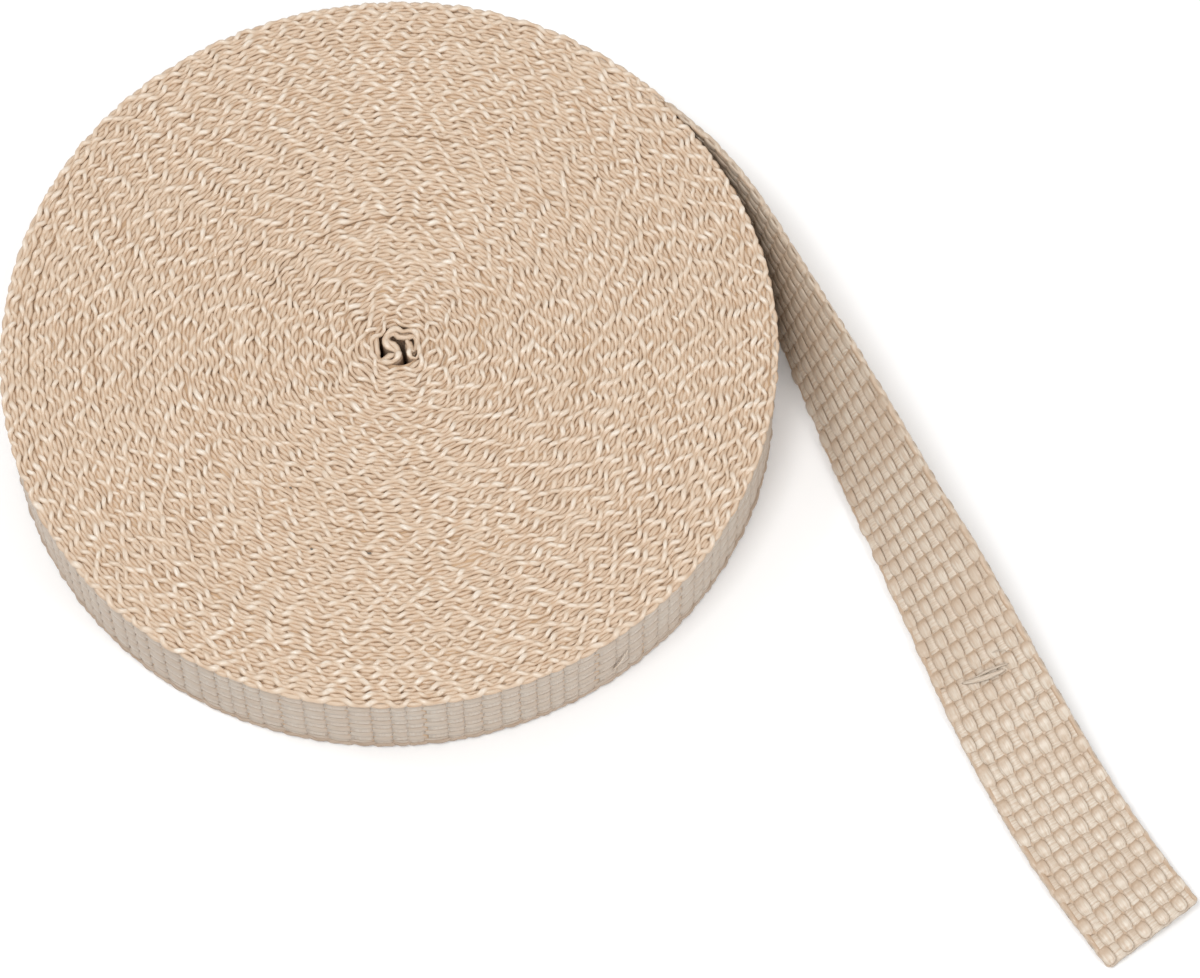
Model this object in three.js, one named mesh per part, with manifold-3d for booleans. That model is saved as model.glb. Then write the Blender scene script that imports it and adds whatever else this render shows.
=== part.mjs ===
import * as THREE from 'three';
import { mergeVertices } from 'three/addons/utils/BufferGeometryUtils.js';
import Module from 'manifold-3d';

// Millimetres, +Z up. One long woven glass-fibre tape, wound flat into a disc that lies on its side,
// with its outer end led off as a free tail. The origin is under the middle of the whole piece.

// The tape: its width across the weave, which is the roll's height, and the thickness of the cloth.
const TAPE_WIDTH = 25.4;
const TAPE_THICKNESS = 1.6;

// The winding: full turns round the small bore that the winding spindle leaves.
const TURN_COUNT = 52;
const BORE_RADIUS = 4.8;
const TURN_GROOVE_DEPTH = 0.5;
const REST_LAND_WIDTH = 0.8;

// The inner end, folded across the bore in an S of two equal bends.
const FOLD_BEND_RADIUS = 1.75;
const FOLD_OPEN_ANGLE = 40;
const FOLD_LEAD_ANGLE = 100;
const FOLD_TURN = -20;

// The tail: its free length, where it starts round the roll, and its heading and outward lean
// in degrees at stations spaced evenly from there to the cut end.
const TAIL_LENGTH = 225;
const TAIL_START_ANGLE = 45;
const TAIL_HEADINGS = [-45, -69, -70, -68, -68.5, -61, -54];
const TAIL_LEANS = [0, 10, 27, 41, 60, 80, 83];
const TAIL_INSET = 0.1;

// How finely the round shapes are cut into flats.
const ROLL_SEGMENTS = 24;
const TAIL_STEPS = 40;
const FOLD_STEPS = 10;

const ROLL_RADIUS = BORE_RADIUS + TURN_COUNT * TAPE_THICKNESS;

const wasm = await Module();
wasm.setup();

// A closed geometry as a solid, its seams welded.
function solidOf(geometry) {
  const bare = geometry.clone();
  bare.deleteAttribute('normal');
  bare.deleteAttribute('uv');
  const welded = mergeVertices(bare, 1e-4);
  return new wasm.Manifold(new wasm.Mesh({
    numProp: 3,
    vertProperties: new Float32Array(welded.attributes.position.array),
    triVerts: new Uint32Array(welded.index.array),
  }));
}

// A solid as a geometry that a mesh can show.
function geometryOf(solid) {
  const mesh = solid.getMesh();
  const geometry = new THREE.BufferGeometry();
  geometry.setAttribute('position', new THREE.BufferAttribute(mesh.vertProperties, 3));
  geometry.setIndex(new THREE.BufferAttribute(mesh.triVerts, 1));
  geometry.computeVertexNormals();
  return geometry;
}

// The wound disc: each turn shows on both ends as a rounded edge between two grooves. The outermost
// turn's lower edge has a flat, which the roll rests on.
function woundDisc() {
  const outline = [];
  for (let turn = 0; turn < TURN_COUNT; turn += 1) {
    const inner = BORE_RADIUS + turn * TAPE_THICKNESS;
    outline.push(new THREE.Vector2(inner, TURN_GROOVE_DEPTH));
    if (turn < TURN_COUNT - 1) outline.push(new THREE.Vector2(inner + TAPE_THICKNESS / 2, 0));
  }
  const landMiddle = ROLL_RADIUS - TAPE_THICKNESS / 2;
  outline.push(new THREE.Vector2(landMiddle - REST_LAND_WIDTH / 2, 0));
  outline.push(new THREE.Vector2(landMiddle + REST_LAND_WIDTH / 2, 0));
  outline.push(new THREE.Vector2(ROLL_RADIUS, TURN_GROOVE_DEPTH));
  for (let turn = TURN_COUNT; turn > 0; turn -= 1) {
    const outer = BORE_RADIUS + turn * TAPE_THICKNESS;
    outline.push(new THREE.Vector2(outer, TAPE_WIDTH - TURN_GROOVE_DEPTH));
    outline.push(new THREE.Vector2(outer - TAPE_THICKNESS / 2, TAPE_WIDTH));
  }
  outline.push(new THREE.Vector2(BORE_RADIUS, TAPE_WIDTH - TURN_GROOVE_DEPTH));
  outline.push(outline[0].clone());
  const disc = new THREE.LatheGeometry(outline, ROLL_SEGMENTS);
  disc.rotateX(Math.PI / 2);
  return disc;
}

// The inner end: a strip on an S of two arcs that meet at the bore's middle. Its far end runs on
// into the innermost turn.
function innerFold() {
  const open = THREE.MathUtils.degToRad(FOLD_OPEN_ANGLE);
  const lead = THREE.MathUtils.degToRad(FOLD_LEAD_ANGLE);
  const route = new THREE.Path();
  route.absarc(0, FOLD_BEND_RADIUS, FOLD_BEND_RADIUS, open, 1.5 * Math.PI, false);
  route.absarc(0, -FOLD_BEND_RADIUS, FOLD_BEND_RADIUS, Math.PI / 2, -lead, true);
  const leadIn = route.getTangent(1).multiplyScalar(BORE_RADIUS);
  const end = route.getPoint(1).add(leadIn);
  route.lineTo(end.x, end.y);
  const left = [];
  const right = [];
  const steps = 3 * FOLD_STEPS;
  for (let step = 0; step <= steps; step += 1) {
    const point = route.getPointAt(step / steps);
    const along = route.getTangentAt(step / steps);
    const side = new THREE.Vector2(-along.y, along.x).multiplyScalar(TAPE_THICKNESS / 2);
    left.push(point.clone().add(side));
    right.unshift(point.clone().sub(side));
  }
  const strip = new THREE.ExtrudeGeometry(new THREE.Shape([...left, ...right]), {
    depth: TAPE_WIDTH,
    bevelEnabled: false,
  });
  strip.rotateZ(THREE.MathUtils.degToRad(FOLD_TURN));
  return strip;
}

// The tail: a straight flat strip, bent along its headings and leaned over so that its lower edge
// stays on the floor.
function freeTail() {
  const start = THREE.MathUtils.degToRad(TAIL_START_ANGLE);
  const startRadius = ROLL_RADIUS - TAIL_INSET - TAPE_THICKNESS / 2;
  const bends = new THREE.SplineCurve(TAIL_HEADINGS.map((heading, station) => (
    new THREE.Vector2(THREE.MathUtils.degToRad(heading), THREE.MathUtils.degToRad(TAIL_LEANS[station]))
  )));
  const stepLength = TAIL_LENGTH / TAIL_STEPS;
  const route = [new THREE.Vector3(Math.cos(start), Math.sin(start), 0).multiplyScalar(startRadius)];
  for (let step = 0; step < TAIL_STEPS; step += 1) {
    const heading = bends.getPoint((step + 0.5) / TAIL_STEPS).x;
    const stride = new THREE.Vector3(Math.cos(heading), Math.sin(heading), 0).multiplyScalar(stepLength);
    route.push(route[step].clone().add(stride));
  }
  const strip = new THREE.BoxGeometry(TAIL_LENGTH, TAPE_WIDTH, TAPE_THICKNESS, TAIL_STEPS, 1, 1);
  const place = strip.attributes.position;
  const vertex = new THREE.Vector3();
  for (let index = 0; index < place.count; index += 1) {
    vertex.fromBufferAttribute(place, index);
    const step = Math.round((vertex.x / TAIL_LENGTH + 0.5) * TAIL_STEPS);
    const { x: heading, y: lean } = bends.getPoint(step / TAIL_STEPS);
    const along = new THREE.Vector3(Math.cos(heading), Math.sin(heading), 0);
    const outward = new THREE.Vector3(-along.y, along.x, 0);
    const across = new THREE.Vector3(0, 0, Math.cos(lean)).addScaledVector(outward, Math.sin(lean));
    const through = along.clone().cross(across);
    const lift = TAPE_THICKNESS / 2 * Math.sin(lean);
    const point = route[step].clone()
      .addScaledVector(across, vertex.y + TAPE_WIDTH / 2)
      .addScaledVector(through, vertex.z);
    place.setXYZ(index, point.x, point.y, point.z + lift);
  }
  return strip;
}

const tape = solidOf(woundDisc()).add(solidOf(innerFold())).add(solidOf(freeTail()));
const tapeGeometry = geometryOf(tape);
tapeGeometry.computeBoundingBox();
const middle = tapeGeometry.boundingBox.getCenter(new THREE.Vector3());
tapeGeometry.translate(-middle.x, -middle.y, -tapeGeometry.boundingBox.min.z);

const wovenGlass = new THREE.MeshStandardMaterial({ color: 0xd9c6aa, roughness: 0.85, metalness: 0 });
const wovenTape = new THREE.Mesh(tapeGeometry, wovenGlass);
wovenTape.name = 'woven_tape';

const heatWrap = new THREE.Group();
heatWrap.add(wovenTape);

export default heatWrap;
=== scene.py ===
import math

import bmesh
import bpy
import numpy as np
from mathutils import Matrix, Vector


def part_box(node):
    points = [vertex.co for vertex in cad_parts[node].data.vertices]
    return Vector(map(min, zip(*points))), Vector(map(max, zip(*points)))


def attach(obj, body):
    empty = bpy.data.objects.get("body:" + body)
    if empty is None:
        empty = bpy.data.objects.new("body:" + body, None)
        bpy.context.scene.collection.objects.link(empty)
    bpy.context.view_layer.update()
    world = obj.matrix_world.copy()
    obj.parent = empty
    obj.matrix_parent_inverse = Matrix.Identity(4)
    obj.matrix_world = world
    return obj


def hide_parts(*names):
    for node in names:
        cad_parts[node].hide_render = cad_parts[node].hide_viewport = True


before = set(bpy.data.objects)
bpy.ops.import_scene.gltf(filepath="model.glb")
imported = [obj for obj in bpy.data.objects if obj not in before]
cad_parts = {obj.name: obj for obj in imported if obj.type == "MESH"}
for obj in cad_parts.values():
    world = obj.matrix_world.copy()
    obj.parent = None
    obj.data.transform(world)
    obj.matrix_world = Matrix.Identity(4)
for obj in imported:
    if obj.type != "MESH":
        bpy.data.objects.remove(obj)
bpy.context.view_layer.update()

# The roll's place. The roll lies flat and its axis stands upright; the free tail reaches past it to
# the right and to the front, so the axis is found from the left and rear sides of the solid.
MM = 0.001
ROLL_RADIUS = 88.0
low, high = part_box("woven_tape")
AXIS = Vector((low.x + ROLL_RADIUS * MM, high.y - ROLL_RADIUS * MM, 0.0))

# The camera looks down on the roll from the front at about 66 degrees, through a long lens.
CAMERA_TILT = 66.087
CAMERA_DISTANCE = 1.1
LENS_PIXELS = 4826.6
PICTURE_WIDTH = 1200
LOOK_AT = AXIS + Vector((47.18, -24.69, 0.0)) * MM
tilt = math.radians(CAMERA_TILT)
camera_data = bpy.data.cameras.new("camera")
camera_data.sensor_width = 36.0
camera_data.lens = LENS_PIXELS / PICTURE_WIDTH * camera_data.sensor_width
camera = bpy.data.objects.new("camera", camera_data)
camera.location = LOOK_AT + Vector((0.0, -math.cos(tilt), math.sin(tilt))) * CAMERA_DISTANCE
camera.rotation_euler = (math.pi / 2 - tilt, 0.0, 0.0)
bpy.context.scene.collection.objects.link(camera)
bpy.context.scene.camera = camera
bpy.context.scene.view_settings.view_transform = "Standard"


# The setting: a plain pale floor under three soft lights, at the front right, at the rear left and
# high at the front left, and an even white sky. The floor lies just below the lowest yarns.
FLOOR_SIZE = 3.0
FLOOR_DROP = 0.0002
SKY_STRENGTH = 0.71


def put_light(name, energy, size, place, target):
    data = bpy.data.lights.new(name, "AREA")
    data.energy = energy
    data.size = size
    light = bpy.data.objects.new(name, data)
    light.location = place
    light.rotation_euler = (Vector(target) - Vector(place)).to_track_quat("-Z", "Y").to_euler()
    bpy.context.scene.collection.objects.link(light)


floor_bm = bmesh.new()
bmesh.ops.create_grid(floor_bm, x_segments=1, y_segments=1, size=FLOOR_SIZE)
floor_mesh = bpy.data.meshes.new("floor")
floor_bm.to_mesh(floor_mesh)
floor_bm.free()
floor_paint = bpy.data.materials.new("white_floor")
floor_paint.use_nodes = True
floor_shader = floor_paint.node_tree.nodes["Principled BSDF"]
floor_shader.inputs["Base Color"].default_value = (0.94, 0.94, 0.94, 1.0)
floor_shader.inputs["Roughness"].default_value = 0.9
floor_mesh.materials.append(floor_paint)
floor = bpy.data.objects.new("floor", floor_mesh)
floor.location.z = -FLOOR_DROP
bpy.context.scene.collection.objects.link(floor)

put_light("right", 6.0, 0.28, (1.0, -0.75, 0.85), (0.0, 0.0, 0.0))
put_light("left", 3.5, 0.35, (-0.85, 0.3, 1.1), (0.0, 0.0, 0.0))
put_light("key", 8.4, 0.45, (-0.35, -0.4, 1.5), (0.0, 0.0, 0.0))
sky = bpy.data.worlds.new("sky")
sky.use_nodes = True
sky.node_tree.nodes["Background"].inputs["Color"].default_value = (1.0, 1.0, 1.0, 1.0)
sky.node_tree.nodes["Background"].inputs["Strength"].default_value = SKY_STRENGTH
bpy.context.scene.world = sky

# The tape: one plain weave of untwisted glass yarns. Its whole run is laid out from the inner end:
# the S folded in the bore, then the winding, which goes round clockwise and outwards, then the tail,
# which leans over as it leaves until it lies flat. Lengths here are millimetres.
WIDTH = 25.4
THICKNESS = 1.6
FLOOR_PRESS = 0.2
BORE_RADIUS = 4.8
START_ANGLE = math.radians(45)
OUTER_MIDDLE = 87.8
CENTRE_SHIFT = 1.9
TAIL_LENGTH = 225.0
TAIL_HEADINGS = np.radians([-45, -69, -70, -68, -68.5, -61, -54])
TAIL_LEANS = np.radians([0, 10, 27, 41, 60, 80, 83])
FOLD_POINTS = [(1.6, 1.4), (2.2, -0.4), (2.6, -2.2), (3.7, -3.1), (4.5, -1.6), (4.6, 0.8),
               (4.1, 2.6), (2.6, 3.3), (0.8, 3.0), (-0.7, 3.8), (-2.2, 3.2), (-3.2, 1.6),
               (-2.5, 0.0), (-0.8, -0.9), (0.4, -2.0), (-0.4, -3.5), (-2.2, -4.4),
               (-4.5, -4.6), (-6.0, -2.5)]
FIRST_MIDDLE = BORE_RADIUS + THICKNESS / 2
CLIMB = THICKNESS / (2 * math.pi)
WOUND_ANGLE = (OUTER_MIDDLE - FIRST_MIDDLE) / CLIMB
WOUND_LENGTH = FIRST_MIDDLE * WOUND_ANGLE + CLIMB * WOUND_ANGLE ** 2 / 2


def through(values, share):
    """a smooth curve through evenly spaced values, at shares of its length from 0 to 1"""
    values = np.asarray(values, float)
    last = len(values) - 1
    place = np.clip(share, 0, 1) * last
    here = np.minimum(place.astype(int), last - 1)
    rest = place - here
    if values.ndim > 1:
        rest = rest[:, None]
    before, start, end, after = (values[np.clip(here + step, 0, last)] for step in (-1, 0, 1, 2))
    rise, fall = (end - before) / 2, (after - start) / 2
    cubic = (2 * start - 2 * end + rise + fall) * rest ** 3
    return cubic + (-3 * start + 3 * end - 2 * rise - fall) * rest ** 2 + rise * rest + start


def measured(points):
    """a route and the distance along it at each of its points"""
    return points, np.concatenate([[0], np.cumsum(np.linalg.norm(np.diff(points, axis=0), axis=1))])


wound_start = START_ANGLE + WOUND_ANGLE
inner_centre = CENTRE_SHIFT * (1 - FIRST_MIDDLE / ROLL_RADIUS)
start_point = (inner_centre + FIRST_MIDDLE * math.cos(wound_start), FIRST_MIDDLE * math.sin(wound_start))
fold_knots = [(x + inner_centre, y) for x, y in FOLD_POINTS] + [start_point]
fold_route, fold_marks = measured(through(fold_knots, np.linspace(0, 1, 400)))
FOLD_LENGTH = fold_marks[-1]
tail_marks = np.linspace(0, TAIL_LENGTH, 451)
tail_bends = through(TAIL_HEADINGS, (tail_marks[1:] + tail_marks[:-1]) / 2 / TAIL_LENGTH)
tail_strides = np.stack([np.cos(tail_bends), np.sin(tail_bends)], 1) * tail_marks[1]
tail_start = np.array([math.cos(START_ANGLE), math.sin(START_ANGLE)]) * OUTER_MIDDLE
tail_start = tail_start + [CENTRE_SHIFT * (1 - OUTER_MIDDLE / ROLL_RADIUS), 0]
tail_route = np.vstack([tail_start, tail_start + np.cumsum(tail_strides, axis=0)])
TAIL_RUN = FOLD_LENGTH + WOUND_LENGTH
END_RUN = TAIL_RUN + TAIL_LENGTH


def middle_line(run):
    """the tape's middle line seen from above, its heading and its outward lean"""
    along = np.clip(run - FOLD_LENGTH, 0, WOUND_LENGTH)
    turned = (np.sqrt(FIRST_MIDDLE ** 2 + 2 * CLIMB * along) - FIRST_MIDDLE) / CLIMB
    radius = FIRST_MIDDLE + CLIMB * turned
    angle = wound_start - turned
    x = radius * np.cos(angle) + CENTRE_SHIFT * (1 - radius / ROLL_RADIUS)
    y = radius * np.sin(angle)
    heading = angle - math.pi / 2
    lean = np.zeros_like(x)
    tail = run > TAIL_RUN
    reach = run[tail] - TAIL_RUN
    x[tail] = np.interp(reach, tail_marks, tail_route[:, 0])
    y[tail] = np.interp(reach, tail_marks, tail_route[:, 1])
    heading[tail] = through(TAIL_HEADINGS, reach / TAIL_LENGTH)
    lean[tail] = through(TAIL_LEANS, reach / TAIL_LENGTH)
    fold = run < FOLD_LENGTH
    beside = [np.clip(run[fold] + step, 0, FOLD_LENGTH) for step in (0.4, -0.4)]
    ahead, behind = (np.stack([np.interp(marks, fold_marks, fold_route[:, k]) for k in (0, 1)], 1)
                     for marks in beside)
    x[fold] = np.interp(run[fold], fold_marks, fold_route[:, 0])
    y[fold] = np.interp(run[fold], fold_marks, fold_route[:, 1])
    heading[fold] = np.arctan2(ahead[:, 1] - behind[:, 1], ahead[:, 0] - behind[:, 0])
    return x, y, heading, lean


def on_tape(run, out, rise):
    """points of the cloth in metres: out is towards the face that is outside in the roll, and rise
    is from the lower edge across the width. Cloth that would sink into the floor is pressed flat"""
    x, y, heading, lean = middle_line(run)
    level = rise * np.cos(lean) - out * np.sin(lean) + THICKNESS / 2 * np.sin(lean)
    level = np.where(level < 0, FLOOR_PRESS * level, level)
    side = rise * np.sin(lean) + out * np.cos(lean)
    place = np.stack([x - np.sin(heading) * side, y + np.cos(heading) * side, level], 1)
    return place * MM + np.array(AXIS)


def wander(run, spacing, seed):
    """a smooth wobble between -1 and 1 along the tape"""
    knots = np.random.default_rng(seed).uniform(-1, 1, int(END_RUN / spacing) + 3)
    step = np.clip(run, 0, END_RUN) / spacing
    here = step.astype(int)
    blend = step - here
    blend = blend * blend * (3 - 2 * blend)
    return knots[here] * (1 - blend) + knots[here + 1] * blend


# The yarns' finish: cream glass filaments side by side, painted tan and brown where they lie deep in the
# cloth as painted shade.
# Every yarn carries its length and its girth as a UV map, so the filaments run along it.
def mix_colour(nodes, links, share, low_colour, high_colour):
    """a node that mixes two colours, each a fixed colour or the output of another node"""
    blend = nodes.new("ShaderNodeMix")
    blend.data_type = "RGBA"
    links.new(share, blend.inputs[0])
    for socket, value in ((blend.inputs[6], low_colour), (blend.inputs[7], high_colour)):
        if isinstance(value, tuple):
            socket.default_value = value
        else:
            links.new(value, socket)
    return blend.outputs[2]


def woven_glass(name, crest, middle, hollow_shade, roughness, strand_width):
    """the finish of one kind of yarn, from its colour on the crests to the tan and brown painted in
    the hollows as painted shade, with fine strands along it and duller patches here and there"""
    paint = bpy.data.materials.new(name)
    paint.use_nodes = True
    nodes, links = paint.node_tree.nodes, paint.node_tree.links
    shader = nodes["Principled BSDF"]
    painted_shade = nodes.new("ShaderNodeAttribute")
    painted_shade.attribute_name = "painted_shade"
    tint = nodes.new("ShaderNodeAttribute")
    tint.attribute_name = "tint"
    uv = nodes.new("ShaderNodeUVMap")
    uv.uv_map = "yarn"
    stretch = nodes.new("ShaderNodeMapping")
    stretch.inputs["Scale"].default_value = (0.22, 1 / strand_width, 1.0)
    links.new(uv.outputs["UV"], stretch.inputs["Vector"])
    strands = nodes.new("ShaderNodeTexNoise")
    strands.inputs["Scale"].default_value = 1.0
    strands.inputs["Detail"].default_value = 3.0
    strands.inputs["Roughness"].default_value = 0.65
    links.new(stretch.outputs["Vector"], strands.inputs["Vector"])
    # painted shade: the ramp darkens each yarn from its crest colour through middle to the hollow colour
    # by the painted shade attribute
    ramp = nodes.new("ShaderNodeValToRGB")
    ramp.color_ramp.elements[0].color = crest
    ramp.color_ramp.elements[1].color = hollow_shade
    ramp.color_ramp.elements.new(0.45).color = middle
    links.new(painted_shade.outputs["Fac"], ramp.inputs["Fac"])
    streak = nodes.new("ShaderNodeMapRange")
    streak.inputs["From Min"].default_value = 0.42
    streak.inputs["From Max"].default_value = 0.60
    streak.inputs["To Max"].default_value = 0.75
    links.new(strands.outputs["Fac"], streak.inputs["Value"])
    streaked = mix_colour(nodes, links, streak.outputs["Result"], ramp.outputs["Color"], middle)
    warm = nodes.new("ShaderNodeMath")
    warm.operation = "MULTIPLY"
    warm.inputs[1].default_value = 0.5
    links.new(tint.outputs["Fac"], warm.inputs[0])
    tinted = mix_colour(nodes, links, warm.outputs["Value"], streaked, middle)
    place = nodes.new("ShaderNodeTexCoord")
    patches = nodes.new("ShaderNodeTexNoise")
    patches.inputs["Scale"].default_value = 75.0
    patches.inputs["Detail"].default_value = 4.0
    links.new(place.outputs["Object"], patches.inputs["Vector"])
    patch = nodes.new("ShaderNodeMapRange")
    patch.inputs["From Min"].default_value = 0.45
    patch.inputs["From Max"].default_value = 0.68
    patch.inputs["To Max"].default_value = 0.5
    links.new(patches.outputs["Fac"], patch.inputs["Value"])
    tinted = mix_colour(nodes, links, patch.outputs["Result"], tinted, middle)
    links.new(tinted, shader.inputs["Base Color"])
    shader.inputs["Roughness"].default_value = roughness
    shader.inputs["Specular IOR Level"].default_value = 0.6
    shader.inputs["Anisotropic"].default_value = 0.7
    shader.inputs["Anisotropic Rotation"].default_value = 0.25
    grain = nodes.new("ShaderNodeTangent")
    grain.direction_type = "UV_MAP"
    grain.uv_map = "yarn"
    links.new(grain.outputs["Tangent"], shader.inputs["Tangent"])
    bump = nodes.new("ShaderNodeBump")
    bump.inputs["Strength"].default_value = 0.7
    bump.inputs["Distance"].default_value = 0.0003
    links.new(strands.outputs["Fac"], bump.inputs["Height"])
    links.new(bump.outputs["Normal"], shader.inputs["Normal"])
    return paint


# One glass in three copies: the edge copy; a darker copy for the tail's faces; and a still darker, greyer
# copy for the roll's wall, its darkness painted shade for a wall that gets less light than the top face.
edge_glass = woven_glass("edge_glass", (0.78, 0.71, 0.62, 1.0), (0.62, 0.48, 0.355, 1.0),
                         (0.48, 0.305, 0.18, 1.0), 0.31, 0.4)
face_glass = woven_glass("face_glass", (0.63, 0.55, 0.455, 1.0), (0.49, 0.365, 0.26, 1.0),
                         (0.42, 0.27, 0.16, 1.0), 0.31, 0.35)
shaded_wall_glass = woven_glass("shaded_wall_glass", (0.51, 0.445, 0.375, 1.0), (0.46, 0.365, 0.285, 1.0),
                         (0.36, 0.25, 0.17, 1.0), 0.45, 0.4)


def lay_yarns(name, count, stations, sides, lay, paint):
    """a mesh of like yarns: each starts as a flat grid, stations long and sides round, and lay bends
    it into a closed yarn. lay takes each vertex's yarn number, share of length and turn, and gives
    its run, out and rise on the tape, its UV, how much painted shade it takes and how tinted it is"""
    bm = bmesh.new()
    for _ in range(count):
        bmesh.ops.create_grid(bm, x_segments=stations, y_segments=sides, size=0.5)
    mesh = bpy.data.meshes.new(name)
    bm.to_mesh(mesh)
    bm.free()
    flat = np.empty(len(mesh.vertices) * 3)
    mesh.vertices.foreach_get("co", flat)
    flat = flat.reshape(-1, 3) + 0.5
    yarn = np.repeat(np.arange(count), (stations + 1) * (sides + 1))
    run, out, rise, girth, painted_shade, tint = lay(yarn, flat[:, 0], flat[:, 1] * 2 * math.pi)
    mesh.vertices.foreach_set("co", on_tape(run, out, rise).ravel())
    corner = np.empty(len(mesh.loops), int)
    mesh.loops.foreach_get("vertex_index", corner)
    uv = np.stack([girth[0][corner], girth[1][corner]], 1)
    mesh.uv_layers.new(name="yarn").data.foreach_set("uv", uv.ravel())
    for label, values in (("painted_shade", painted_shade), ("tint", tint)):
        mesh.attributes.new(label, "FLOAT", "POINT").data.foreach_set("value", values)
    bm = bmesh.new()
    bm.from_mesh(mesh)
    bmesh.ops.remove_doubles(bm, verts=bm.verts, dist=2e-6)
    if bm.calc_volume(signed=True) < 0:
        bmesh.ops.reverse_faces(bm, faces=bm.faces)
    bm.to_mesh(mesh)
    bm.free()
    mesh.polygons.foreach_set("use_smooth", np.ones(len(mesh.polygons), bool))
    mesh.materials.append(paint)
    piece = bpy.data.objects.new(name, mesh)
    bpy.context.scene.collection.objects.link(piece)
    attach(piece, "root")
    return piece


# The weave's beat, one full turn of phase for each two weft picks. In the winding every turn is drawn
# towards the beat of the turn inside it, because the edge's waves settle into one another until the
# picks would have to spread too far. That leaves patches of nested waves with broken ones between.
WEAVE_PERIOD = 8.1
PICK = WEAVE_PERIOD / 2
PICK_SPREAD = 0.06
BEAT_STEP = 0.5
TAIL_JITTER = 0.25
beat_marks = np.arange(0, END_RUN + 2 * BEAT_STEP, BEAT_STEP)
beat_jitter = np.where(beat_marks < TAIL_RUN, 1, TAIL_JITTER)
beat_rates = 0.12 * wander(beat_marks, 18, 3) + 0.14 * wander(beat_marks, 7, 5)
beat_rates = 2 * math.pi / WEAVE_PERIOD * (1 + beat_jitter * beat_rates)
beat_turns = (np.sqrt(FIRST_MIDDLE ** 2 + 2 * CLIMB * np.clip(beat_marks - FOLD_LENGTH, 0, WOUND_LENGTH))
              - FIRST_MIDDLE) / CLIMB
inner_turns = beat_turns - 2 * math.pi
inner_runs = FOLD_LENGTH + FIRST_MIDDLE * inner_turns + CLIMB * inner_turns ** 2 / 2
inner_marks = (inner_runs / BEAT_STEP).astype(int)
pick_spreads = np.interp(beat_turns / WOUND_ANGLE, [0, 0.3, 1], [0.4, 1, 0.6])
pick_spreads = pick_spreads * PICK_SPREAD * (1 + 0.9 * wander(beat_marks, 38, 6))
beats = np.zeros(len(beat_marks))
for i in range(1, len(beats)):
    pull = 0.0
    if inner_turns[i] > 0 and beat_marks[i] < TAIL_RUN:
        spread = pick_spreads[i]
        pull = spread * 2 * math.pi / WEAVE_PERIOD * math.sin(beats[inner_marks[i]] - beats[i - 1])
    beats[i] = beats[i - 1] + BEAT_STEP * (beat_rates[i] + pull)


def beat(run):
    """the weave's phase along the tape"""
    jitter = np.interp(run, beat_marks, beat_jitter)
    return np.interp(run, beat_marks, beats) + 0.75 * jitter * wander(run, 6.5, 7)


# The wound layers under the edges: the imported cloth of all the turns, which fills the roll between
# its two ends. It shows only in the hollows between the edge yarns, where its brown is painted shade.
LAYERS_INSET = 1.3
LAYERS_MARGIN = 0.2
ROUND_STEPS = 192
layers = bmesh.new()
bmesh.ops.create_grid(layers, x_segments=ROUND_STEPS, y_segments=4, size=0.5)
for vertex in layers.verts:
    share, ring = vertex.co.x + 0.5, round((vertex.co.y + 0.5) * 4) % 4
    back = share * 2 * math.pi
    radius = OUTER_MIDDLE - CLIMB * (2 * math.pi - back) + LAYERS_MARGIN
    angle = START_ANGLE - back
    if ring in (0, 3):
        radius = BORE_RADIUS + LAYERS_MARGIN
    height = LAYERS_INSET if ring in (0, 1) else WIDTH - LAYERS_INSET
    shift = CENTRE_SHIFT * (1 - radius / ROLL_RADIUS)
    vertex.co = AXIS + Vector((shift + radius * math.cos(angle), radius * math.sin(angle), height)) * MM
bmesh.ops.remove_doubles(layers, verts=layers.verts, dist=1e-7)
bmesh.ops.holes_fill(layers, edges=[edge for edge in layers.edges if edge.is_boundary], sides=0)
bmesh.ops.recalc_face_normals(layers, faces=layers.faces)
layers_mesh = bpy.data.meshes.new("wound_layers")
layers.to_mesh(layers_mesh)
layers.free()
layers_paint = bpy.data.materials.new("layers_shaded_glass")
layers_paint.use_nodes = True
layers_shader = layers_paint.node_tree.nodes["Principled BSDF"]
# painted shade: a brown for the bottoms of the hollows
layers_shader.inputs["Base Color"].default_value = (0.50, 0.34, 0.21, 1.0)
layers_shader.inputs["Roughness"].default_value = 0.8
layers_mesh.materials.append(layers_paint)
wound_layers = bpy.data.objects.new("wound_layers", layers_mesh)
bpy.context.scene.collection.objects.link(wound_layers)
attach(wound_layers, "root")
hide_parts("woven_tape")

# The edges of the turns. Along each edge the weft turns over the outermost warp yarn at every pick,
# a wavy cord of its own, and that warp yarn bulges out in the hollows of the wave.
LOOP_SWING = 0.54
LOOP_RADIUS = 0.76
LOOP_DEPTH = 0.66
YARN_SWING = 0.45
LOBE_CHANGE = 0.66 * FOLD_LENGTH
LAST_TURN = TAIL_RUN - 2 * math.pi * OUTER_MIDDLE - 15


def tip(*distances):
    """how full a yarn is near its ends, which are round"""
    near = np.clip(np.minimum(*distances) / 1.2, 0, 1)
    return np.sqrt(1 - (1 - near) ** 2)


def edge_level(run):
    """how far each stretch of edge stands below the roll's flat end"""
    return 0.22 + 0.2 * wander(run, 45, 11) + 0.12 * wander(run, 13, 12)


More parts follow.
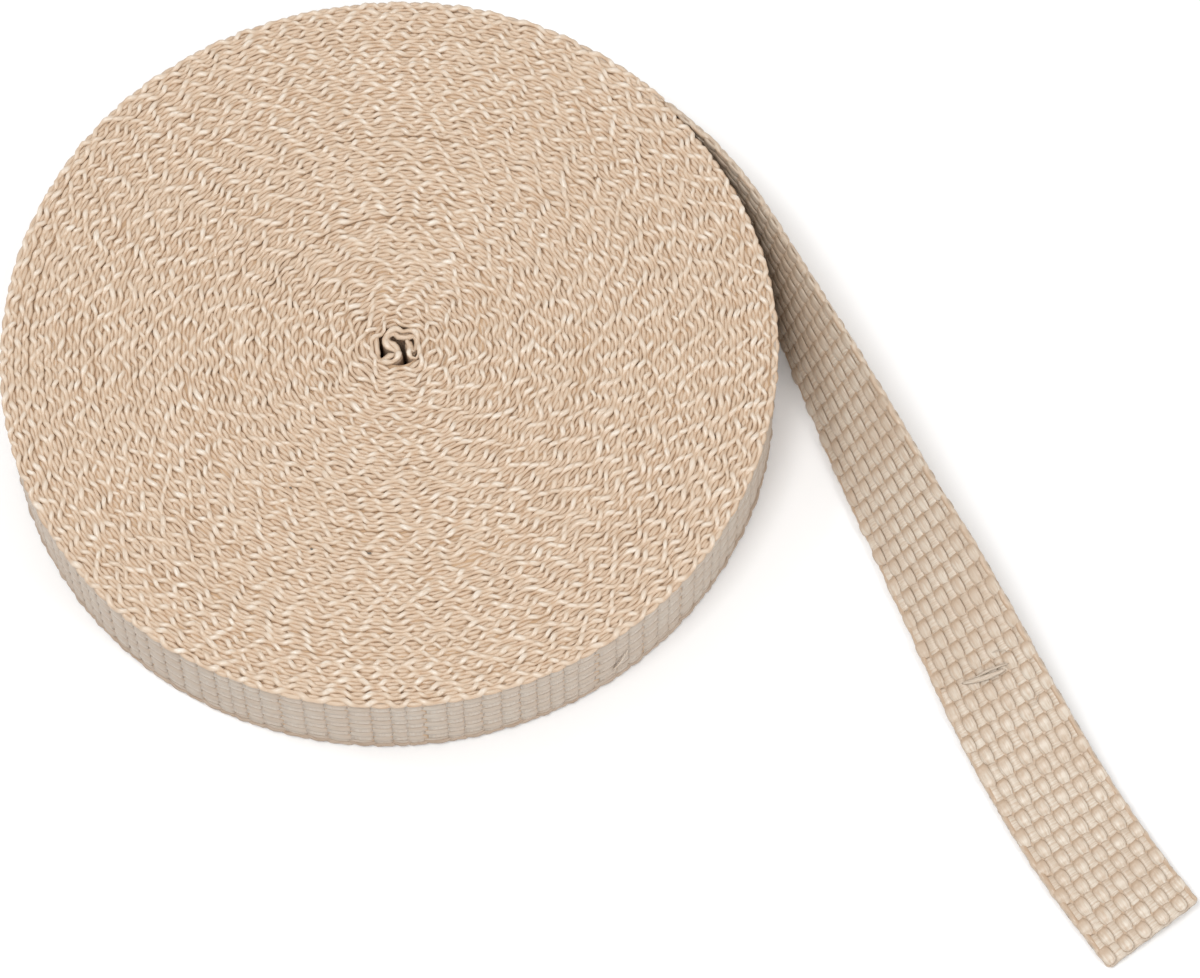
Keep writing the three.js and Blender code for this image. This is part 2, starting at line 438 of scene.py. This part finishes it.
def edge_loops(first, last, top, swing, grain):
    """the weft's loops along one edge as one wavy cord: swing is how far it waves to each side, and
    grain is how strongly its lumps stand out"""
    def lay(yarn, along, turn):
        run = first + (last - first) * along
        pulse = np.sin(beat(run))
        side = swing * (1 + 0.3 * wander(run, 7, 21)) + 0.35 * np.exp(-run / 420)
        places = [FOLD_LENGTH - 1, FOLD_LENGTH + 1, LAST_TURN, LAST_TURN + 20]
        side = side * np.interp(run, places, [0.3, 1, 1, 0.9])
        wave = side * np.tanh(1.2 * pulse) / math.tanh(1.2) + 0.2 * wander(run, 31, 25)
        notch = grain * pulse ** 2
        handed = 0.22 * grain * wander(run, 22, 27) * np.cos(beat(run))
        ends = tip(run - first, last - run)
        size = (LOOP_RADIUS * (1 + 0.16 * wander(run, PICK, 22)) - 0.3 * notch) * ends
        out = (wave if top else -wave) + size * np.sin(turn)
        uneven = 0.14 * grain * wander(run, PICK, 26)
        below = edge_level(run) + LOOP_DEPTH + 0.36 * notch + handed + uneven - size * np.cos(turn)
        rise = WIDTH - below if top else below
        # painted shade: the loops are painted darker the lower they sit below the edge, and darker at the
        # notches where they dive
        painted_shade = np.clip(0.35 * notch + 0.8 * (below - edge_level(run)) / 0.9, 0, 1)
        tint = np.clip(0.4 + 0.35 * wander(run, 25, 23) + 0.6 * wander(run, PICK, 24), 0, 1)
        return run, out, rise, (run, turn * 0.42 + run * 0.16), painted_shade, tint
    return lay


def edge_yarn(first, last, top):
    """the outermost warp yarn along one edge, which bulges out between the loops"""
    def lay(yarn, along, turn):
        run = first + (last - first) * along
        pulse = np.sin(beat(run))
        wave = YARN_SWING * pulse - 0.2 * wander(run, 31, 25)
        ends = tip(run - first, last - run)
        crown = 0.66 - 0.18 * pulse ** 2 + 0.2 * wander(run, PICK, 31)
        folded = np.clip((FOLD_LENGTH - run) / 2, 0, 1)
        lobe = folded * 0.9 * np.tanh((LOBE_CHANGE - run) / 1.5)
        out = lobe - (wave if top else -wave) + (0.66 + 0.16 * folded) * ends * np.sin(turn)
        below = edge_level(run) + crown + 0.7 - 0.7 * ends * np.cos(turn)
        rise = WIDTH - below if top else below
        # painted shade: the warp yarn is painted darker the lower it sits below the edge
        painted_shade = np.clip(0.1 + 1.0 * (below - edge_level(run) - 0.2) / 0.8, 0, 1)
        tint = np.clip(0.45 + 0.4 * wander(run, 30, 32) + 0.6 * wander(run, PICK, 33), 0, 1)
        return run, out, rise, (run, turn * 0.6 - run * 0.12), painted_shade, tint
    return lay


def edge_run(name, first, last, top, loop_steps, loop_sides, yarn_steps, yarn_sides, swing, paint):
    """one stretch of edge: its loops and its warp yarn, with so many steps for each weave period"""
    periods = (last - first) / WEAVE_PERIOD
    lay_yarns(name + "_loops", 1, int(periods * loop_steps), loop_sides,
              edge_loops(first, last, top, swing, 1.0), paint)
    lay_yarns(name + "_warp", 1, int(periods * yarn_steps), yarn_sides,
              edge_yarn(first, last, top), paint)


HALF_RUN = FOLD_LENGTH + WOUND_LENGTH / 2
edge_run("upper_inner", 0.0, HALF_RUN, True, 12, 7, 8, 5, LOOP_SWING, edge_glass)
edge_run("upper_outer", HALF_RUN, TAIL_RUN, True, 12, 7, 8, 5, LOOP_SWING, edge_glass)
edge_run("lower", 0.0, LAST_TURN, False, 6, 4, 2, 4, LOOP_SWING, edge_glass)
# painted shade: the last turn's lower edge takes the darker wall copy, which hides the warm light the
# floor throws up on it
edge_run("lower_last", LAST_TURN, TAIL_RUN, False, 10, 7, 8, 5, 0.4, shaded_wall_glass)

# The folded inner end: below its edges the cloth of the S stands upright in the bore.
def inner_cloth(yarn, along, turn):
    run = 0.4 + (FOLD_LENGTH + 60) * along
    ends = np.where((along < 0.001) | (along > 0.999), 0, 1)
    out = 0.6 * ends * np.sign(np.sin(turn)) * np.abs(np.sin(turn)) ** 0.4
    rise = WIDTH / 2 + 11.2 * ends * np.sign(np.cos(turn)) * np.abs(np.cos(turn)) ** 0.4
    # painted shade: the folded cloth in the bore is painted an even tan
    painted_shade = np.full_like(run, 0.75)
    tint = np.full_like(run, 0.5)
    return run, out, rise, (run, rise), painted_shade, tint


lay_yarns("inner_fold", 1, 400, 12, inner_cloth, edge_glass)

# The woven faces: flat warp yarns crossed by a wide flat weft yarn at every pick. The outermost turn
# shows them on the roll's wall, pressed flat by the winding, and the tail on both its faces, where
# each yarn puffs up between its crossings, and the warps lie over the wefts a little longer on the
# seen face.
WARP_COUNT = 10
SELVEDGE = 0.4
WALL_PUFF = 0.2
TAIL_PUFF = 0.46
FLOAT_SHIFT = 1.3
WARP_PITCH = (WIDTH - 2 * SELVEDGE) / WARP_COUNT


def rounded(value, power):
    """a sine or cosine made squarer or rounder"""
    return np.sign(value) * np.abs(value) ** power


def warp_yarns(first, last, swing, edge, puff):
    """the yarns along the tape: swing is how far they weave out and in, edge is the strip left free
    along both sides, and puff is how much they swell between their crossings"""
    numbers = np.arange(WARP_COUNT)

    def lay(yarn, along, turn):
        run = first + (last - first) * along
        number = numbers[yarn]
        unsteady = (0.36 + 0.7 * puff) * wander(run + 431 * number, 6, 44)
        wave = np.sin(beat(run) + unsteady) * np.where(number % 2 == 0, 1, -1)
        ends = tip(run - first, last - run)
        centre = SELVEDGE + (number + 0.5) * WARP_PITCH + 0.14 * wander(run + 977 * number, 7, 41)
        breadth = 1.24 - 0.3 * puff + puff * np.tanh(2.2 * wave) ** 2
        breadth = (breadth + 0.1 * wander(run + 531 * number, 4, 42)) * ends
        bulk = (0.32 + 0.06 * wave ** 2 * (1 + 0.8 * wander(run + 77 * number, 4, 45))) * ends
        slope = 0.16 * wander(run + 619 * number, 4, 47) * rounded(np.cos(turn), 0.7) * ends
        weave = np.tanh(1.5 * wave - FLOAT_SHIFT * (puff - WALL_PUFF))
        out = swing * weave + slope + bulk * rounded(np.sin(turn), 0.95)
        rise = np.clip(centre + breadth * rounded(np.cos(turn), 0.6), edge + 0.1, WIDTH - edge - 0.1)
        rising = np.cos(beat(run)) * np.where(number % 2 == 0, 1, -1) * np.sign(np.sin(turn))
        # painted shade and painted sheen: darker where the yarn dives at its crossings, and along each
        # float darker over its rising half and lighter over its falling half
        painted_shade = np.clip(0.4 * (swing + 0.3 - np.abs(out)) + swing * (0.1 + 0.8 * rising), 0, 1)
        # painted light: near where the tail leaves the roll its yarns are painted lighter, for light that
        # the roll keeps off them
        painted_shade = painted_shade * (1 - 0.6 * np.exp(-np.abs(run - TAIL_RUN) / 50) * (swing > 0.4))
        tint = 0.35 + 0.4 * wander(run + 311 * number, 15, 43)
        tint = np.clip(tint + 0.7 * wander(run + 91 * number, 4, 46), 0, 1)
        return run, out, rise, (run + 37.7 * number, turn * 1.2), painted_shade, tint
    return lay


def weft_yarns(first, last, swing, edge, puff):
    """how many yarns cross a stretch of tape, one at each pick, and how they lie"""
    swing = swing * (0.97 - 0.6 * puff)
    fine = np.linspace(first - 20, last + 20, 20000)
    phases = beat(fine)
    number_first = math.ceil((beat(np.array([first]))[0] - math.pi / 2) / math.pi)
    number_last = math.floor((beat(np.array([last]))[0] - math.pi / 2) / math.pi)
    numbers = np.arange(number_first, number_last + 1)
    centres = np.interp(math.pi / 2 + numbers * math.pi, phases, fine)
    spaces = np.gradient(centres)

    def lay(yarn, along, turn):
        number = numbers[yarn]
        rise = edge + (WIDTH - 2 * edge) * along
        ends = tip(rise - edge, WIDTH - edge - rise)
        wave = np.cos(math.pi * ((rise - SELVEDGE) / WARP_PITCH - 0.5)) * np.where(number % 2 == 0, 1, -1)
        slant = 0.4 * wander(rise * 3 + number * 61.0, 30, 51)
        breadth = 0.54 * spaces[yarn] + 0.06 * wave ** 2
        breadth = (breadth + 0.12 * wander(rise * 2 + number * 47.0, 5, 52)) * ends
        bulk = (0.30 + 0.05 * wave ** 2) * ends
        run = centres[yarn] + slant - breadth * np.cos(turn)
        out = -swing * np.tanh(1.8 * wave) + bulk * rounded(np.sin(turn), 0.8)
        # painted shade and painted sheen: darker where the weft dives, and darker on the side of each
        # weft towards the tape's inner end
        painted_shade = np.clip(0.4 * (swing + 0.26 - np.abs(out)) + 0.6 * swing * np.cos(turn), 0, 1)
        tint = 0.15 + 0.4 * wander(rise + number * 29.0, 11, 53)
        tint = np.clip(tint + 0.6 * wander(rise + number * 57.0, 2.6, 54), 0, 1)
        return run, out, rise, (rise + 13.3 * number, turn * 1.7), painted_shade, tint
    return len(numbers), lay


def woven_stretch(name, first, last, swing, edge, puff, warp_steps, weft_steps, sides, paint):
    """one stretch of woven face: all its warps and all its wefts"""
    picks = (last - first) / WEAVE_PERIOD * 2
    warps = lay_yarns(name + "_warps", WARP_COUNT, int(picks * warp_steps), sides,
                      warp_yarns(first, last, swing, edge, puff), paint)
    count, lay = weft_yarns(first, last, swing, edge, puff)
    wefts = lay_yarns(name + "_wefts", count, WARP_COUNT * weft_steps, sides, lay, paint)
    return warps, wefts


def tail_middle(yarn, along, turn):
    """the tail's core, a flat strip inside the weave"""
    run = TAIL_RUN - 2 + (TAIL_LENGTH + 1.0) * along
    ends = np.where((along < 0.001) | (along > 0.999), 0, 1)
    out = 0.38 * ends * rounded(np.sin(turn), 0.4)
    rise = WIDTH / 2 + 12.2 * ends * rounded(np.cos(turn), 0.4)
    # painted shade: the core is painted an even tan, like cloth deep in the weave
    return run, out, rise, (run, rise), np.full_like(run, 0.7), np.full_like(run, 0.5)


TAIL_EDGE_STEPS = 392
TAIL_END = END_RUN - 0.3
# painted shade: the wall is laid in the darker, greyer wall copy of the glass
woven_stretch("wall", LAST_TURN, TAIL_RUN, 0.30, 1.0, WALL_PUFF, 5, 4, 7, shaded_wall_glass)
tail_warps, tail_wefts = woven_stretch("tail", TAIL_RUN, TAIL_END, 0.58, 0.1, TAIL_PUFF,
                                       10, 6, 10, face_glass)
tail_core = lay_yarns("tail_core", 1, 300, 8, tail_middle, face_glass)
tail_edges = [lay_yarns("tail_edge_" + side, 1, TAIL_EDGE_STEPS, 8,
                        edge_loops(TAIL_RUN, TAIL_END, top, 0.2, 0.4), face_glass)
              for side, top in (("upper", True), ("lower", False))]

# Stray glass filaments: a pale flat wisp lying across the tail, two single ones beside it, and a
# broken bundle on the wall. Each is given by its two ends, its bow, half breadth and half thickness.
TAIL_STRAYS = [(152.0, 6.6, 154.2, 17.4, 0.5, 0.7, 0.2), (152.6, 9.0, 153.4, 18.6, -0.4, 0.35, 0.15),
               (164.6, 18.4, 162.4, 21.4, 0.6, 0.12, 0.10), (149.4, 16.2, 151.6, 20.4, -0.5, 0.12, 0.10)]
WALL_STRAYS = [(-396.0, 6.0, -400.0, 12.4, 0.4, 0.3, 0.2), (-395.5, 6.4, -399.0, 12.0, -0.3, 0.25, 0.2)]


def strays(ends, face):
    """how many filaments lie on a face, and how they lie: face is how far out they are"""
    ends = np.array(ends)

    def lay(yarn, along, turn):
        first_run, first_rise, last_run, last_rise, bow, broad, thick = ends[yarn].T
        fullness = np.sqrt(np.clip(4 * along * (1 - along), 0, 1))
        run = TAIL_RUN + first_run + (last_run - first_run) * along + bow * np.sin(math.pi * along)
        run = run + broad * fullness * np.cos(turn)
        rise = first_rise + (last_rise - first_rise) * along
        lift = math.copysign(0.3, face) * np.sin(math.pi * along) * thick / 0.2
        out = face + lift + thick * fullness * np.sin(turn)
        return run, out, rise, (rise * 2, turn), np.zeros_like(run), np.zeros_like(run)
    return len(ends), lay


stray_count, stray_lay = strays(TAIL_STRAYS, -0.98)
tail_strays = lay_yarns("tail_filaments", stray_count, 16, 6, stray_lay, face_glass)
stray_count, stray_lay = strays(WALL_STRAYS, 0.72)
lay_yarns("wall_filaments", stray_count, 12, 6, stray_lay, edge_glass)

# Dirt: three dark flecks caught between the turns on the upper face.
FLECKS = [(-11648.9, 0.35), (-9561.5, 0.3), (-9903.8, 0.5)]
dirt = bpy.data.materials.new("dirt")
dirt.use_nodes = True
dirt_shader = dirt.node_tree.nodes["Principled BSDF"]
dirt_shader.inputs["Base Color"].default_value = (0.13, 0.11, 0.09, 1.0)
dirt_shader.inputs["Roughness"].default_value = 0.7


def fleck(yarn, along, turn):
    """one small lump of dirt"""
    place, half = np.array(FLECKS)[yarn].T
    fullness = np.sqrt(np.clip(4 * along * (1 - along), 0, 1))
    run = TAIL_RUN + place + half * (2 * along - 1)
    rise = WIDTH - 0.1 + 0.22 * fullness * np.cos(turn)
    return run, 0.25 * fullness * np.sin(turn), rise, (run, turn), np.ones_like(run), np.ones_like(run)


lay_yarns("flecks", len(FLECKS), 8, 6, fleck, dirt)
